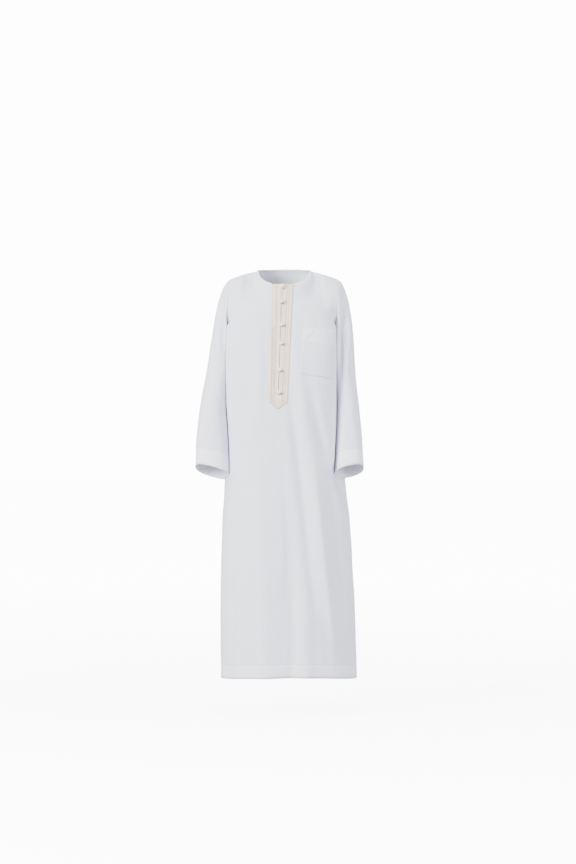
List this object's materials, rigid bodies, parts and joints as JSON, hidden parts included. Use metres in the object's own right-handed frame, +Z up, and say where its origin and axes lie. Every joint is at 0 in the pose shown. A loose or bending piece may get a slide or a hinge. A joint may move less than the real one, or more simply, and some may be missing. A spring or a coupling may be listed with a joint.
{
  "type": "child's thobe robe",
  "caption": "Ankle-length long-sleeved A-line robe in worn form, hollow, with round neck, braided placket, knotted buttons and chest pocket.",
  "frame": {"origin": "middle of the line across the shoulders, level with the points where the neck opening meets the shoulder seams", "axes": "+Z up, -Y towards the front of the garment, +X towards the wearer's left"},
  "size_m": [0.419, 0.314, 1.0228],
  "materials": {
    "White cloth": "matte woven cloth",
    "Binding cloth": "matte woven cloth",
    "Placket braid": "matte woven cloth",
    "Button cord": "matte woven cloth"
  },
  "bodies": {
    "root": {"front": "White cloth", "back": "White cloth", "sleeve_left": "White cloth", "sleeve_right": "White cloth", "pocket": "White cloth", "neck_binding": "Binding cloth", "placket_underlap": "Binding cloth", "placket": "Placket braid", "button_1": "Button cord", "button_2": "Button cord", "button_3": "Button cord", "button_4": "Button cord", "button_5": "Button cord", "button_6": "Button cord", "loop_1": "Button cord", "loop_2": "Button cord", "loop_3": "Button cord", "loop_4": "Button cord", "loop_5": "Button cord", "loop_6": "Button cord", "tail_1": "Button cord", "tail_2": "Button cord", "tail_3": "Button cord", "tail_4": "Button cord", "tail_5": "Button cord", "tail_6": "Button cord"}
  },
  "joints": []
}
